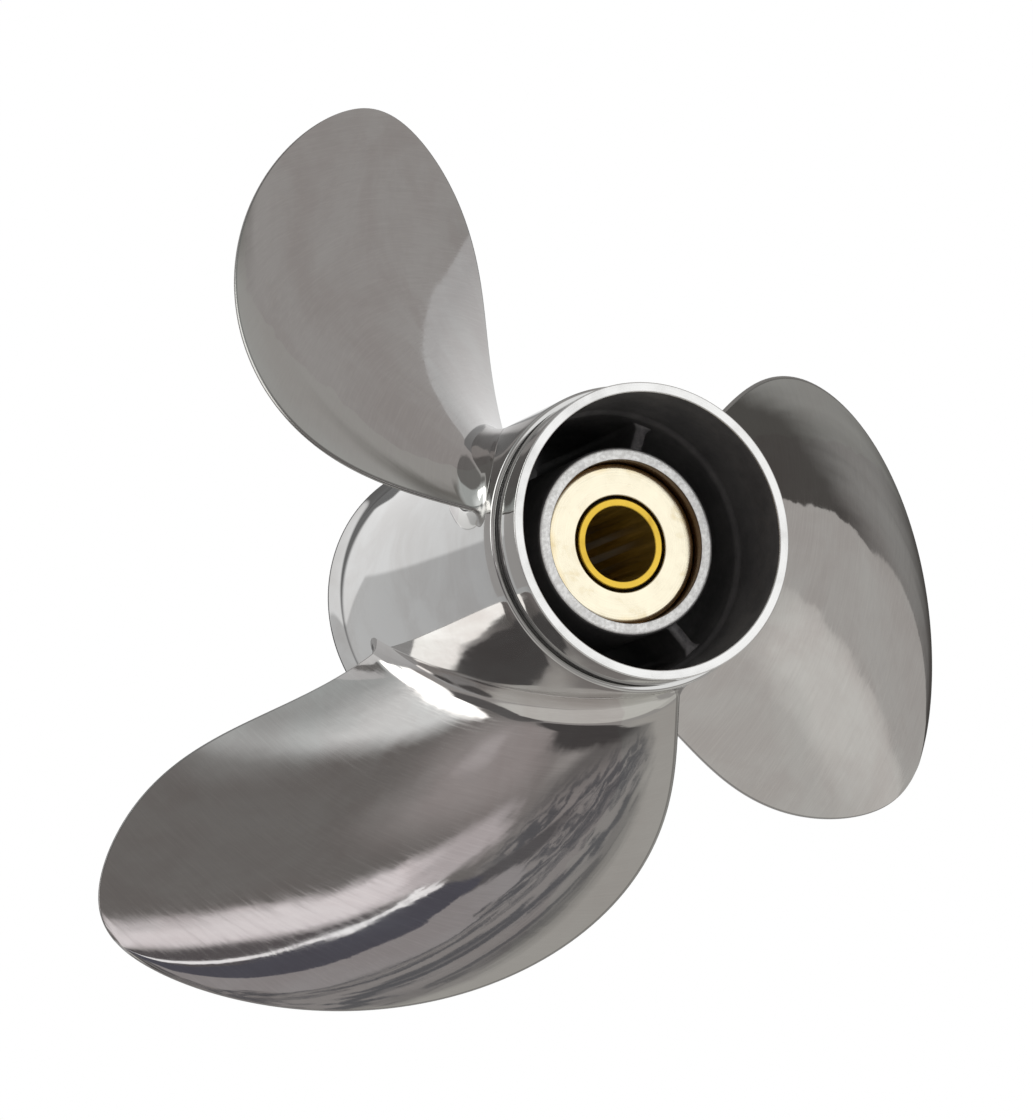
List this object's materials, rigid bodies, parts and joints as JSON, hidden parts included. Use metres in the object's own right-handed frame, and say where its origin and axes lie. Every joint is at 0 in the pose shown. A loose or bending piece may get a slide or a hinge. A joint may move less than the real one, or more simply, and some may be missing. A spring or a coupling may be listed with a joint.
{
  "type": "outboard boat propeller",
  "caption": "Right-hand stainless outboard propeller: blades on a through-hub exhaust barrel, ribs, and a splined brass drive sleeve in a rubber bush.",
  "frame": {"origin": "on the shaft axis at the drive sleeve's front face, in the plane of the brass thrust ring's face", "axes": "+Z along the shaft axis towards the gearcase (forward); +Y towards the root of blade_1; +X completes a right-handed frame"},
  "size_m": [0.337, 0.3416, 0.166],
  "materials": {
    "polished_steel": "polished cast stainless steel with faint polishing lines",
    "cast_steel": "matt as-cast stainless steel, machined on its front face",
    "black_paint": "satin black paint in the exhaust passages",
    "pale_brass": "pale polished brass",
    "yellow_brass": "satin yellow brass",
    "black_rubber": "moulded black rubber"
  },
  "bodies": {
    "propeller": {"barrel": "polished_steel", "inner_hub": "cast_steel", "rib_1": "black_paint", "rib_2": "black_paint", "rib_3": "black_paint", "blade_1": "polished_steel", "blade_2": "polished_steel", "blade_3": "polished_steel", "thrust_ring": "pale_brass"},
    "drive": {"drive_sleeve": "yellow_brass", "rubber_bush": "black_rubber"}
  },
  "joints": [
    {"name": "hub_twist", "type": "hinge", "parent": "propeller", "child": "drive", "pos_m": [0, 0, 0], "axis": [0, 0, 1], "range_deg": [-8, 8], "stiffness_Nm_per_rad": 600}
  ]
}
